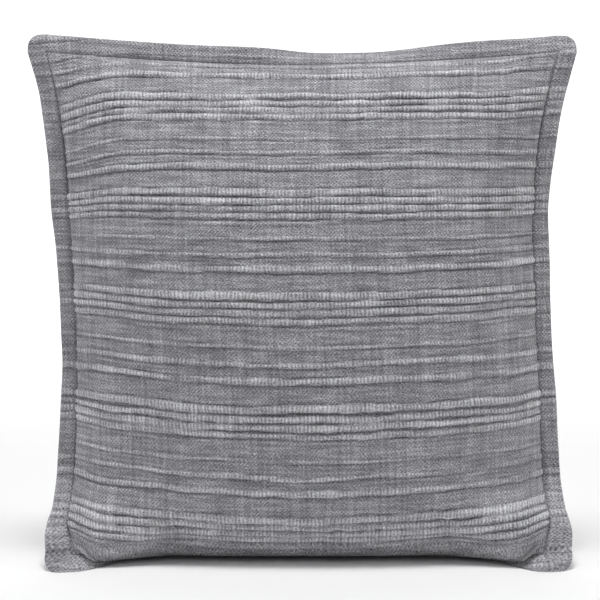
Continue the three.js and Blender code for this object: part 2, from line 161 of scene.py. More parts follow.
def build_mesh(name, points, quads, uv=None, relief=None):
    """A smooth mesh from points in mm and quads, with cloth coordinates and relief."""
    mesh = bpy.data.meshes.new(name)
    mesh.vertices.add(len(points))
    mesh.vertices.foreach_set("co", (points * MM).astype(np.float32).ravel())
    mesh.loops.add(quads.size)
    mesh.loops.foreach_set("vertex_index", quads.astype(np.int32).ravel())
    mesh.polygons.add(len(quads))
    mesh.polygons.foreach_set("loop_start", np.arange(0, quads.size, 4, dtype=np.int32))
    mesh.update(calc_edges=True)
    mesh.polygons.foreach_set("use_smooth", np.ones(len(quads), dtype=bool))
    if uv is not None:
        layer = mesh.uv_layers.new(name="cloth")
        layer.data.foreach_set("uv", (uv[quads.ravel()] * MM).astype(np.float32).ravel())
    if relief is not None:
        # The relief attribute also carries painted shade in the ribs' grooves, for the cloth's colour.
        attribute = mesh.attributes.new("relief", "FLOAT", "POINT")
        attribute.data.foreach_set("value", relief.astype(np.float32).ravel())
    return mesh


# The body's form, from its outline and crown

def seam_half(level):
    up, down = np.maximum(level, 0), np.maximum(-level, 0)
    return 191.6 + 20 * up ** 3 + 9 * down ** 1.6


def sideways(level):
    """The body hangs a little to one side."""
    return 5.0 * smooth(-level, -0.35, 0.45) - 1.2 * smooth(level, 0.1, 0.4) * (1 - smooth(level, 0.6, 1))


def seam_top(share):
    return 410.5 + 11 * np.abs(share) ** 1.7


def seam_low(share):
    return FLANGE_REST + 2.5 + 2.5 * smooth(np.abs(share), 0.62, 0.97)


def crown(share):
    return np.maximum(0, 1 - np.abs(share) ** 2.3) ** 0.62


def taper(share):
    return 1 - np.abs(share) ** 3


def ear(share, level):
    return -EAR_FORWARD * smooth(np.abs(share), 0.52, 1.0) * smooth(-level, 0.70, 1.0)


def ear_at(x, z):
    level = np.clip((z - 12) / 205 - 1, -1, 1)
    return ear(np.clip(x / seam_half(level), -1, 1), level)


def place(share, level, side, inset, depth, closure):
    """A point of the body above its base. side is -1 in front and 1 behind."""
    near = 1 - smooth(np.abs(share), 0.8, 1.0)
    floor = seam_low(share) + near * np.where(side < 0, -FLANGE_REST, -1.0) + inset
    z = mix(floor, seam_top(share) - inset, (level + 1) / 2)
    side_half = seam_half(level) - inset
    lean = level + 0.1 * (1 - level ** 2)
    base = (BASE - inset) * taper(share) * (1 - smooth(level, -1, -0.4))
    reach = base + depth * crown(share) * crown(lean)
    x = share * side_half
    # The stuffed body swells over the flange.
    swell = smooth(np.abs(share), 0.74, 0.96) * (1 - smooth(np.abs(share), 0.975, 1.0))
    x = x + np.sign(share) * OVERHANG * swell * (1 - np.abs(level) ** 6)
    # Its lower corners are rounder than the flange's.
    corner = smooth(np.abs(share), 0.84, 1.0) * smooth(-level, 0.84, 1.0)
    x = x - np.sign(share) * CORNER_IN * corner
    z = z + 0.6 * CORNER_IN * corner
    if side > 0:
        rise = z - ZIP_POINT[2]
        flat = ZIP_POINT[1] + rise * math.tan(ZIP_TILT) + closure / math.cos(ZIP_TILT)
        along = 1 - smooth(np.abs(x), CHAIN_HALF + FLAT_PAST, side_half)
        beyond = 1 - smooth(np.abs(rise) / math.cos(ZIP_TILT), FLAT_BESIDE, FLAT_BESIDE + FLAT_FADE)
        reach = mix(reach, flat, along * beyond)
    return np.stack([x + sideways(level), side * reach + ear_at(x, z), z], axis=-1)


def even(line, start, count):
    """Points of a polyline, spread evenly on each side of the point numbered start."""
    length = np.concatenate([[0], np.cumsum(np.linalg.norm(np.diff(line, axis=0), axis=1))])
    half = np.linspace(0, 1, (count + 1) // 2)
    places = np.concatenate([length[start] * half, mix(length[start], length[-1], half[1:])])
    return np.stack([np.interp(places, length, line[:, axis]) for axis in range(3)], axis=1)


def body_grid(side, inset=0.0, depth=CROWN, closure=PANEL_FACE):
    """The body's front or back, as even cloth: [row, column, xyz] in mm, from its lower seam up."""
    levels = np.sin(np.linspace(-1, 1, 241) * math.pi / 2)
    shares = np.sin(np.linspace(-1, 1, 161) * math.pi / 2)
    share, level = np.meshgrid(shares, levels)
    crowned = place(share, level, side, inset, depth, closure)
    # The strip underneath runs from the seam to the crown's foot.
    strip_rows = 16
    steps = np.linspace(0, 1, strip_rows + 1)[:-1]
    foot = crowned[0]
    seam = foot.copy()
    seam[:, 2] = seam_low(shares) + inset
    seam[:, 1] = 4 * taper(shares) + ear_at(shares * (seam_half(-1.0) - inset), seam[:, 2])
    corner = smooth(np.abs(shares), 0.84, 1.0)
    seam[:, 2] += 0.6 * CORNER_IN * corner
    strip = [mix(seam, foot, step) for step in steps]
    if side > 0:
        for step, line in zip(steps, strip):
            line[:, 2] += 1.8 * taper(shares) * smooth(step, 0, 0.2) * (1 - smooth(step, 0.5, 1))
    full = np.concatenate([np.stack(strip), crowned])
    middle = strip_rows + len(levels) // 2
    columns = np.stack([even(full[:, c], middle, GRID) for c in range(full.shape[1])], axis=1)
    return np.stack([even(columns[r], len(shares) // 2, GRID) for r in range(GRID)])


# Cloth simulation: the sewn cover is blown up a little between its seams

SIM_STEP = 2
SIM_FRAMES = 22


def simulate(front, back):
    """How far pressure moves the cloth from the drawn form, for the front and the back."""
    a, b = front[::SIM_STEP, ::SIM_STEP], back[::SIM_STEP, ::SIM_STEP]
    size = a.shape[0]
    front_index = np.arange(size * size).reshape(size, size)
    back_index = front_index.copy()
    inner = (size - 2) ** 2
    back_index[1:-1, 1:-1] = size * size + np.arange(inner).reshape(size - 2, size - 2)
    points = np.concatenate([a.reshape(-1, 3), b[1:-1, 1:-1].reshape(-1, 3)])
    cells = grid_faces(size, size)
    quads = np.concatenate([front_index.ravel()[cells], back_index.ravel()[cells][:, ::-1]])
    piece = link("body_simulation", build_mesh("body_simulation", points, quads))

    pinned = np.zeros(len(points), dtype=bool)
    pinned[front_index[[0, -1], :]] = True
    pinned[front_index[:, [0, -1]]] = True
    pinned[points[:, 2] < 2.5] = True
    offset = points - ZIP_POINT
    beside = (np.abs(offset @ UP) < 14) & (np.abs(points[:, 0]) < CHAIN_HALF + 12) & (points[:, 1] > 20)
    pinned[beside] = True
    group = piece.vertex_groups.new(name="held")
    group.add([int(i) for i in np.nonzero(pinned)[0]], 1.0, "REPLACE")

    cloth = piece.modifiers.new("Cloth", "CLOTH")
    settings = cloth.settings
    settings.quality = 5
    settings.mass = 0.3
    settings.air_damping = 5
    settings.tension_stiffness = settings.compression_stiffness = 25
    settings.shear_stiffness = 8
    settings.bending_stiffness = 1.2
    settings.vertex_group_mass = "held"
    settings.shrink_min = -0.012
    settings.use_pressure = True
    settings.uniform_pressure_force = 6.0
    settings.effector_weights.gravity = 0
    cloth.point_cache.frame_end = SIM_FRAMES
    scene = bpy.context.scene
    for number in range(1, SIM_FRAMES + 1):
        scene.frame_set(number)
    moved = np.zeros(len(points) * 3, dtype=np.float32)
    result = piece.evaluated_get(bpy.context.evaluated_depsgraph_get())
    result.data.vertices.foreach_get("co", moved)
    moved = moved.reshape(-1, 3) / MM - points
    scene.frame_set(1)
    bpy.data.objects.remove(piece)
    return settle(moved[front_index], a, -1), settle(moved[back_index], b, 1)


def settle(moved, form, side):
    """Keeps the simulated folds, and only a part of the general swelling, as the insert holds the form."""
    outward = side * -grid_normals(form)
    swell = np.sum(moved * outward, axis=-1)
    along = moved - swell[..., None] * outward
    general = swell.copy()
    for _ in range(30):
        padded = np.pad(general, 1, mode="edge")
        general = (padded[:-2, 1:-1] + padded[2:, 1:-1] + padded[1:-1, :-2] + padded[1:-1, 2:]) / 4
    folds = np.clip(swell - general, -2.5, 4.0)
    swell = np.clip(0.12 * general + 0.7 * folds, -0.5, 5.0)
    moved = swell[..., None] * outward + 0.5 * along
    moved[[0, -1]] = 0
    moved[:, [0, -1]] = 0
    return moved


front_form, back_form = body_grid(-1), body_grid(1)
front_move, back_move = simulate(front_form, back_form)


# The cover: body, seam and flange in one sheet of cloth for each face

def flange_lines(pitch):
    lines = np.arange(2.0, 13.0, pitch)
    return np.concatenate([[0.35, 1.0], lines, [13.4, 14.1, 14.6, 14.9, 15.0]])


def cloth_lines(half, pitch_body, pitch_flange):
    out = flange_lines(pitch_flange)
    body = np.linspace(-half, half, int(2 * half / pitch_body) + 1)[1:-1]
    inner = np.concatenate([[-half, 0.5 - half, 1.1 - half], body, [half - 1.1, half - 0.5, half]])
    return np.concatenate([-half - out[::-1], inner, half + out])


COLUMNS = cloth_lines(HALF_U, 2.35, 2.2)
ROWS = cloth_lines(HALF_V, 1.1, 1.1)


def rounded_corner(du, dv, hub):
    """Rounds the flange's outer corners about a point this far past the seam."""
    a, b = np.maximum(du - hub, 0), np.maximum(dv - hub, 0)
    scale = np.maximum(a, b) / np.maximum(np.hypot(a, b), 1e-9)
    scale = np.where((a > 0) & (b > 0), scale, 1)
    return np.where(a > 0, hub + a * scale, du), np.where(b > 0, hub + b * scale, dv)


def flange_reach(u, v, du, dv):
    """How far the flange's middle surface lies from the seam."""
    side = np.sign(u)
    low, high = smooth(-v, 120, HALF_V), smooth(v, 60, HALF_V)
    wave = 0.20 * wander(v + 300 * side, 11, 58) + 0.10 * wander(v + 300 * side, 12, 27)
    wide = 1.0 + 0.10 * high + 0.5 * smooth(-v, 175, HALF_V) + 0.06 * wander(v + 400 * side, 15, 45)
    out_side = unit(np.stack([side, wave + 0.12 - 0.25 * low, 0 * u], axis=-1)) * wide[..., None]
    lean = np.radians(14 + 36 * np.exp(-((u - 52) / 62) ** 2) + 9 * wander(u, 13, 48))
    out_top = np.stack([0 * u, np.sin(lean), np.cos(lean)], axis=-1)
    turn = np.radians(4 + 134 * smooth(np.abs(u), 128, 196))
    short = 1 - 0.62 * np.exp(-((np.degrees(turn) - 62) / 30) ** 2)
    out_low = np.stack([0 * u, np.cos(turn), -np.sin(turn)], axis=-1) * short[..., None]
    away = np.where((v < 0)[..., None], out_low, out_top)
    away = away * (1 + 0.5 * smooth(-v, HALF_V - 1, HALF_V) * smooth(np.abs(u), 160, HALF_U))[..., None]
    du, dv = rounded_corner(du, dv, np.where(v < 0, 0.5, 5.0))
    # A small pleat puckers the flange above the lower left corner.
    pleat = smooth(-v, 197, 202) * (1 - 0.8 * smooth(-v, 203, HALF_V)) * smooth(-u, HALF_U, HALF_U + 4)
    lift = np.stack([0 * u, -3.2 * pleat, -1.4 * pleat], axis=-1)
    return du[..., None] * out_side + dv[..., None] * away + lift


def flange_face(past):
    """Half the flange's thickness: stitched down at the seam, padded, then round at its edge."""
    rise = 0.5 + 1.0 * smooth(past, 0.3, 2.8)
    round_edge = np.sqrt(np.clip(1 - ((past - 13.4) / (FLANGE - 13.4)) ** 2, 0, 1))
    return np.where(past > 13.4, rise * round_edge, rise)


# Weft ribs: heavier slub yarns in a woven repeat. Place in the repeat, half width and height (mm)
REPEAT = 83.0
REPEAT_START = 61.5
RIBS = [
    (0.0, 1.5, 0.95),
    (-3.7, 1.1, 0.35),
    (-12.3, 2.0, 1.15),
    (-16.2, 1.1, 0.40),
    (-20.2, 1.3, 0.45),
    (-23.8, 2.7, 1.45),
    (-45.2, 3.1, 1.55),
    (-52.0, 2.8, 1.40),
    (-58.2, 2.8, 1.40),
    (-64.4, 2.6, 1.20),
    (-69.6, 1.4, 0.45),
]


def straighten(form):
    """How far the weave shifts up, in mm, to run level across the lower half of a face."""
    lines = np.linspace(-HALF_V, HALF_V, GRID)
    height = form[..., 2]
    level = np.interp(height, height[16:, GRID // 2], lines[16:])
    share = 0.62 * smooth(-lines, -90, 60)[:, None]
    return (level - lines[:, None]) * share


def rib_relief(u, v):
    """Height of the ribs and depth of the grooves beside them, in mm; the grooves also carry painted
    shade, deeper below each rib.
    """
    drift = 1.3 * patches(u, v, 21, 90, 60) + 0.5 * patches(u, v, 22, 34, 30)
    drift = drift + 13 * smooth(-u, 140, 225) * smooth(v, 40, 150)
    drift = drift - 6 * smooth(u, 150, 225) * smooth(v, 90, 190)
    height, groove_and_painted_shade = np.zeros_like(u), np.zeros_like(u)
    seed = 100
    for repeat in range(-3, 4):
        for start, half, tall in RIBS:
            seed += 1
            middle = REPEAT_START + REPEAT * repeat + start
            if abs(middle) > HALF_V + FLANGE + 16:
                continue
            line = middle + 0.8 * wander(u, seed, 55) + 0.35 * wander(u, seed + 500, 15)
            width = half * (1 + 0.20 * wander(u, seed + 1000, 40) + 0.15 * wander(u, seed + 1500, 7))
            vary = 0.38 * wander(u, seed + 2000, 44) + 0.22 * wander(u, seed + 2500, 5)
            strength = tall * (0.95 + 0.18 * wander(seed, 7, 1.3) + vary)
            away = (v + drift - line) / width
            bump = np.sqrt(np.clip(1 - away ** 2, 0, 1))
            height = np.maximum(height, strength * bump)
            # Painted shade in a band beside each rib, deeper on its lower side where light from above is
            # cut off; it also presses the groove in.
            shade = np.exp(-((np.abs(away + 0.08) - 1.12) * width / 0.75) ** 2)
            groove_and_painted_shade = np.maximum(groove_and_painted_shade, tall * shade * (1 + 0.4 * (away < 0)))
    return height, groove_and_painted_shade * np.exp(-height / 1.4)


def cover(u, v, side, form, move, quiet=0.0):
    """Points, relief with painted shade in the grooves, and weave height of one face of the cover, at
    cloth coordinates in mm.
    """
    past_u, past_v = np.maximum(np.abs(u) - HALF_U, 0), np.maximum(np.abs(v) - HALF_V, 0)
    past = np.maximum(past_u, past_v)
    column = (np.clip(u / HALF_U, -1, 1) + 1) / 2 * (GRID - 1)
    row = (np.clip(v / HALF_V, -1, 1) + 1) / 2 * (GRID - 1)
    body = sample(form, column, row) + sample(move, column / SIM_STEP, row / SIM_STEP)
    pattern = v + sample(straighten(form)[..., None], column, row)[..., 0]
    middle = body + flange_reach(u, v, past_u, past_v)
    facing = side * -grid_normals(middle)
    # The body leaves the seam from the flange's stitched face.
    inside = np.minimum(HALF_U - np.abs(u), HALF_V - np.abs(v))
    edge_u = np.abs(u) / HALF_U > np.abs(v) / HALF_V
    first_column = np.argmax(u[0] > -HALF_U) - 2
    last_column = len(u[0]) - np.argmax(u[0][::-1] < HALF_U) + 1
    near_column = np.where(u[0] < 0, first_column, last_column)
    first_row = np.argmax(v[:, 0] > -HALF_V) - 2
    last_row = len(v) - np.argmax(v[::-1, 0] < HALF_V) + 1
    near_row = np.clip(np.where(v[:, 0] < 0, first_row, last_row), 0, len(v) - 1)
    rows = np.arange(len(v))[:, None]
    by_column = facing[rows, np.clip(near_column, 0, u.shape[1] - 1)[None, :]]
    by_row = facing[near_row[:, None], np.arange(u.shape[1])[None, :]]
    outside = np.where(edge_u[..., None], by_column, by_row)
    start = 0.5 * (1 - smooth(inside, 0, 7))
    face = np.where(past > 0, flange_face(past), start)
    points = middle + np.where((past > 0)[..., None], facing, outside) * face[..., None]
    # Ribs and slubs stand out of the cloth.
    height, groove_and_painted_shade = rib_relief(u, pattern)
    on_body = 1 - 0.7 * np.exp(-(np.maximum(inside, 0) / 3.5) ** 2)
    on_flange = 0.6 * smooth(past, 0.3, 3) * (1 - smooth(past, 13.0, 14.7))
    share = np.where(past > 0, on_flange, on_body) * (1 - quiet)
    under = smooth(-v, HALF_V - 26, HALF_V - 8) * (np.abs(u) < HALF_U - 30)
    share = share * (1 - 0.8 * under)
    slub = 0.13 * patches(u, v, 31, 12, 2.2) + 0.09 * patches(u, v, 32, 4.5, 2.2)
    relief = (height - 0.45 * groove_and_painted_shade + slub) * share
    points = points + side * -grid_normals(points) * relief[..., None]
    # It presses flat where it stands.
    z = points[..., 2]
    points[..., 2] = np.where(z < 25, 0.5 * (z + np.sqrt(z ** 2 + 1.0)), z)
    # The relief kept for the cloth's colour: the ribs' height, less painted shade in their grooves.
    return points, (height - groove_and_painted_shade) * share, pattern


U, V = np.meshgrid(COLUMNS, ROWS)
front_points, front_relief_and_shade, front_pattern = cover(U, V, -1, front_form, front_move)


def slot_rows():
    """The back's rows, bent to end on the slot over the zipper: for the upper and lower panel."""
    fine = np.linspace(-HALF_V, 0, 900)
    column = (np.clip(COLUMNS / HALF_U, -1, 1) + 1) / 2 * (GRID - 1)
    row = (fine / HALF_V + 1) / 2 * (GRID - 1)
    c, r = np.meshgrid(column, row)
    points = sample(back_form, c, r) + sample(back_move, c / SIM_STEP, r / SIM_STEP)
    made = []
    for sign in (1, -1):
        edges = []
        for k in range(len(COLUMNS)):
            x = points[:, k, 0]
            rise = points[:, k, 2] - ZIP_POINT[2]
            half = mix(0.15, SLOT, 1 - smooth(np.abs(x), CHAIN_HALF + 4, CHAIN_HALF + FLAT_PAST))
            gap = rise - sign * half * math.cos(ZIP_TILT)
            beyond = np.nonzero(gap > 0)[0]
            beyond = beyond[fine[beyond] > -HALF_V + 5]
            n = beyond[0]
            share = -gap[n - 1] / (gap[n] - gap[n - 1])
            edges.append(mix(fine[n - 1], fine[n], share))
        made.append(np.array(edges))
    return made


upper_edge, lower_edge = slot_rows()
zip_v = float(np.median((upper_edge + lower_edge) / 2))


def back_rows(edge, rows, sign):
    """Rows that run from the slot's edge into the even rows of the panel."""
    span = 45.0
    first = zip_v + sign * 1.0
    share = np.clip((rows - first) * sign / span, 0, 1)[:, None]
    return rows[:, None] * np.ones_like(edge) + (edge - first) * (1 - smooth(share, 0, 1))


# The turned edge's profile, from the panel's edge: across and out of the zipper (mm)
HEM = [(-0.40, -0.12), (-0.62, -0.5), (-0.50, -0.9), (0.6, -1.12), (5.0, -1.12)]


def back_panel(edge, sign):
    rows = ROWS[ROWS > zip_v + 1.0] if sign > 0 else ROWS[ROWS < zip_v - 1.0]
    rows = np.concatenate([[zip_v + 1.0], rows]) if sign > 0 else np.concatenate([rows, [zip_v - 1.0]])
    v = back_rows(edge, rows, sign)
    u = np.ones_like(v) * COLUMNS
    quiet = np.exp(-((v - zip_v) / 17.0) ** 4) * (np.abs(u) < CHAIN_HALF + 60)
    points, relief, pattern = cover(u, v, 1, back_form, back_move, quiet)
    # The edge over the zipper is turned under.
    border = points[0] if sign > 0 else points[-1]
    open_share = 1 - smooth(np.abs(border[:, 0]), CHAIN_HALF + 2, CHAIN_HALF + 16)
    hem = []
    for across, out in HEM:
        hem.append(border + open_share[:, None] * (sign * across * UP + out * OUT))
    edge_v = pattern[0 if sign > 0 else -1]
    hem_v = [edge_v + sign * (k + 1) * 0.4 for k in range(len(HEM))]
    flat = np.zeros((len(HEM), len(COLUMNS)))
    if sign > 0:
        return (np.concatenate([hem[::-1], points]), np.concatenate([hem_v[::-1], pattern]),
                np.concatenate([flat, relief]))
    return np.concatenate([points, hem]), np.concatenate([pattern, hem_v]), np.concatenate([relief, flat])


back_panels = {"upper": back_panel(upper_edge, 1), "lower": back_panel(lower_edge, -1)}


# Materials

def material(name, color, roughness, metallic=0.0):
    made = bpy.data.materials.new(name)
    made.use_nodes = True
    shader = made.node_tree.nodes["Principled BSDF"]
    shader.inputs["Base Color"].default_value = (*color, 1)
    shader.inputs["Roughness"].default_value = roughness
    shader.inputs["Metallic"].default_value = metallic
    return made, made.node_tree, shader


def calc(tree, operation, a, b=None, c=None):
    made = tree.nodes.new("ShaderNodeMath")
    made.operation = operation
    for number, value in enumerate((a, b, c)):
        if isinstance(value, (int, float)):
            made.inputs[number].default_value = value
        elif value is not None:
            tree.links.new(value, made.inputs[number])
    return made.outputs[0]


def centred(tree, value, share, added):
    return calc(tree, "MULTIPLY_ADD", calc(tree, "SUBTRACT", value, 0.5), share, added)


def noise(tree, vector, scale, across=1.0, up=1.0, detail=2.0):
    mapping = tree.nodes.new("ShaderNodeMapping")
    mapping.inputs["Scale"].default_value = (across, up, 1)
    tree.links.new(vector, mapping.inputs["Vector"])
    made = tree.nodes.new("ShaderNodeTexNoise")
    made.inputs["Scale"].default_value = scale
    made.inputs["Detail"].default_value = detail
    tree.links.new(mapping.outputs[0], made.inputs["Vector"])
    return made.outputs["Fac"]


def colours(tree, value, stops):
    ramp = tree.nodes.new("ShaderNodeValToRGB")
    first, last = ramp.color_ramp.elements
    first.position, first.color = stops[0][0], (*stops[0][1], 1)
    last.position, last.color = stops[-1][0], (*stops[-1][1], 1)
    for position, color in stops[1:-1]:
        ramp.color_ramp.elements.new(position).color = (*color, 1)
    tree.links.new(value, ramp.inputs[0])
    return ramp.outputs[0]


def bump(tree, shader, height, distance, strength=1.0):
    made = tree.nodes.new("ShaderNodeBump")
    made.inputs["Strength"].default_value = strength
    made.inputs["Distance"].default_value = distance
    tree.links.new(height, made.inputs["Height"])
    tree.links.new(made.outputs[0], shader.inputs["Normal"])


YARN_PITCH = 0.0015  # metres


def slub_cloth():
    """Plain weave of grey slub yarn, beaded over the ribs by the warp."""
    made, tree, shader = material("slub_cloth", (0.2, 0.2, 0.21), 0.95)
    links = tree.links
    uv = tree.nodes.new("ShaderNodeUVMap")
    uv.uv_map = "cloth"
    # The relief attribute: the ribs' height, less painted shade in their grooves.
    relief = tree.nodes.new("ShaderNodeAttribute")
    relief.attribute_name = "relief"
    wobble = noise(tree, uv.outputs[0], 120, 1, 1, 3)
    split = tree.nodes.new("ShaderNodeSeparateXYZ")
    links.new(uv.outputs[0], split.inputs[0])
    shift = calc(tree, "MULTIPLY", calc(tree, "SUBTRACT", wobble, 0.5), 0.0050)
    u = calc(tree, "ADD", split.outputs[0], shift)
    v = calc(tree, "ADD", split.outputs[1], shift)
    warp = calc(tree, "SINE", calc(tree, "MULTIPLY", u, math.pi / YARN_PITCH))
    weft = calc(tree, "SINE", calc(tree, "MULTIPLY", v, math.pi / YARN_PITCH))
    cross = calc(tree, "MULTIPLY", warp, weft)
    hole = calc(tree, "POWER", calc(tree, "MULTIPLY_ADD", cross, -0.5, 0.5), 2.2)
    woven_plain = calc(tree, "MULTIPLY_ADD", hole, -2.4, 0.9)
    on_rib = calc(tree, "MULTIPLY", relief.outputs["Fac"], 0.8)
    on_rib.node.use_clamp = True
    plain = calc(tree, "SUBTRACT", 1.0, on_rib)
    beads = calc(tree, "MULTIPLY", warp, on_rib)
    thread = calc(tree, "ADD", calc(tree, "MULTIPLY", woven_plain, plain), beads)
    fine = noise(tree, uv.outputs[0], 620, 1, 1.5, 2)
    fibre = noise(tree, uv.outputs[0], 2300, 0.4, 1, 2)
    streak = noise(tree, uv.outputs[0], 330, 0.10, 1, 3)
    column = noise(tree, uv.outputs[0], 330, 1, 0.05, 2)
    patch = noise(tree, uv.outputs[0], 26, 0.5, 1, 2)
    # Tone: crossings, slub streaks, broad patches, and the ribs: lighter crests, and painted shade in the
    # grooves beside them
    tone = calc(tree, "MULTIPLY_ADD", thread, 0.26, 0.96)
    tone = centred(tree, fine, 1.7, tone)
    tone = centred(tree, streak, 1.4, tone)
    tone = centred(tree, column, 0.8, tone)
    tone = centred(tree, patch, 0.3, tone)
    tone = centred(tree, fibre, 0.3, tone)
    # Painted shade: the relief darkens the grooves, most below each rib, and lightens the crests.
    tone = calc(tree, "MULTIPLY_ADD", relief.outputs["Fac"], 0.27, tone)
    base = colours(tree, calc(tree, "MULTIPLY", tone, 0.5), [
        (0.0, (0.04, 0.04, 0.045)),
        (0.5, (0.325, 0.322, 0.345)),
        (1.0, (0.86, 0.86, 0.89)),
    ])
    links.new(base, shader.inputs["Base Color"])
    height = calc(tree, "MULTIPLY", thread, 0.5)
    height = centred(tree, fine, 1.5, height)
    height = centred(tree, fibre, 0.6, height)
    height = centred(tree, streak, 0.8, height)
    height = centred(tree, column, 0.5, height)
    bump(tree, shader, height, 0.0008)
    shader.inputs["Sheen Weight"].default_value = 0.2
    shader.inputs["Sheen Roughness"].default_value = 0.5
    shader.inputs["Specular IOR Level"].default_value = 0.2
    return made


def woven(name, color, dark, pitch, roughness, coarse=1.0):
    """A fine plain weave in object coordinates."""
    made, tree, shader = material(name, color, roughness)
    at = tree.nodes.new("ShaderNodeTexCoord").outputs["Object"]
    split = tree.nodes.new("ShaderNodeSeparateXYZ")
    tree.links.new(at, split.inputs[0])
    a = calc(tree, "SINE", calc(tree, "MULTIPLY", split.outputs[0], math.pi / pitch))
    b = calc(tree, "SINE", calc(tree, "MULTIPLY", split.outputs[2], math.pi / pitch))
    cross = calc(tree, "MULTIPLY", a, b)
    grain = noise(tree, at, 900 * coarse, 1, 1, 3)
    tone = centred(tree, grain, 0.9, calc(tree, "MULTIPLY_ADD", cross, 0.16, 0.5))
    tree.links.new(colours(tree, tone, [(0.0, dark), (0.75, color)]), shader.inputs["Base Color"])
    bump(tree, shader, centred(tree, grain, 0.8, cross), pitch * 0.25)
    shader.inputs["Sheen Weight"].default_value = 0.15
    return made


def moulded(name, color, roughness, metallic, scale, depth):
    """Nylon or metal with a fine surface grain and slight wear."""
    made, tree, shader = material(name, color, roughness, metallic)
    at = tree.nodes.new("ShaderNodeTexCoord").outputs["Object"]
    grain = noise(tree, at, scale, 0.3, 1, 3)
    wear = noise(tree, at, scale * 0.12, 1, 1, 4)
    dark = tuple(0.7 * c for c in color)
    pale = tuple(min(1, 1.15 * c) for c in color)
    tree.links.new(colours(tree, wear, [(0.35, dark), (0.65, pale)]), shader.inputs["Base Color"])
    tree.links.new(centred(tree, grain, 0.25, calc(tree, "MULTIPLY_ADD", wear, 0.1, roughness - 0.05)),
                   shader.inputs["Roughness"])
    bump(tree, shader, grain, depth)
    return made


CLOTH = slub_cloth()
THREAD = woven("cover_thread", (0.24, 0.24, 0.255), (0.12, 0.12, 0.13), 0.0004, 0.85)
TAPE = woven("zipper_tape", (0.22, 0.22, 0.235), (0.11, 0.11, 0.12), 0.0005, 0.8)
TICKING = woven("ticking", (0.80, 0.78, 0.74), (0.62, 0.60, 0.56), 0.0006, 0.9)
LABEL = woven("label", (0.86, 0.85, 0.82), (0.72, 0.71, 0.68), 0.0003, 0.6)
FIBRE = woven("fibre_fill", (0.9, 0.9, 0.88), (0.6, 0.6, 0.58), 0.004, 0.95, 0.1)
NYLON = moulded("zipper_nylon", (0.17, 0.17, 0.18), 0.45, 0.0, 2500, 0.00004)
METAL = moulded("zipper_metal", (0.55, 0.55, 0.56), 0.3, 1.0, 3500, 0.00002)


def finish(piece, made, nodes, body="cushion"):
    piece.data.materials.clear()
    piece.data.materials.append(made)
    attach(piece, body)
    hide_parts(*nodes)
    return piece


front_uv = np.stack([U.ravel(), front_pattern.ravel()], axis=-1)
front_faces = grid_faces(*U.shape)
front_mesh = build_mesh("front_cover", front_points.reshape(-1, 3), front_faces, front_uv, front_relief_and_shade)
front_cover = finish(link("front_cover", front_mesh), CLOTH, ["front_panel"])

for name, (points, v, relief) in back_panels.items():
    u = np.ones_like(v) * COLUMNS
    uv = np.stack([u.ravel() + 731, v.ravel()], axis=-1)
    faces = grid_faces(*v.shape, flip=True)
    mesh = build_mesh(f"back_cover_{name}", points.reshape(-1, 3), faces, uv, relief)
    piece = finish(link(f"back_cover_{name}", mesh), CLOTH, [f"back_panel_{name}"])
    # Which side of the zipper the panel lies on: 1 above, -1 below
    side = 1 if name == "upper" else -1


# The insert inside: shell, fill, edge seam and closing stitches

def insert_panel(name, side, nodes):
    form = body_grid(side, 12.0, CROWN * 0.91, -11.1)[::2, ::2]
    u, v = np.meshgrid(np.linspace(-205, 205, form.shape[1]), np.linspace(-205, 205, form.shape[0]))
    uv = np.stack([u.ravel(), v.ravel()], axis=-1)
    mesh = build_mesh(name, form.reshape(-1, 3), grid_faces(*u.shape, flip=side > 0), uv)
    piece = finish(link(name, mesh), TICKING, nodes)
    return form


shell_front = insert_panel("insert_front_shell", -1, ["insert_front_ticking"])
insert_panel("insert_back_shell", 1, ["insert_back_ticking"])


def fill_piece():
    front = body_grid(-1, 15.0, CROWN * 0.87, -13.5)[::2, ::2]
    back = body_grid(1, 15.0, CROWN * 0.87, -13.5)[::2, ::2]
    size = front.shape[0]
    index = np.arange(size * size).reshape(size, size)
    back_index = index.copy()
    back_index[1:-1, 1:-1] = size * size + np.arange((size - 2) ** 2).reshape(size - 2, size - 2)
    points = np.concatenate([front.reshape(-1, 3), back[1:-1, 1:-1].reshape(-1, 3)])
    u, v, w = points.T
    tuft = 0.8 * patches(u + w, v, 41, 14, 14) + 0.5 * patches(u - 0.5 * w, w, 42, 6, 6)
    points[:, 1] += tuft * smooth(np.abs(points[:, 1]), 3, 20)
    cells = grid_faces(size, size)
    quads = np.concatenate([index.ravel()[cells], back_index.ravel()[cells][:, ::-1]])
    piece = finish(link("fill", build_mesh("fill", points, quads)), FIBRE, ["insert_fill"])


fill_piece()


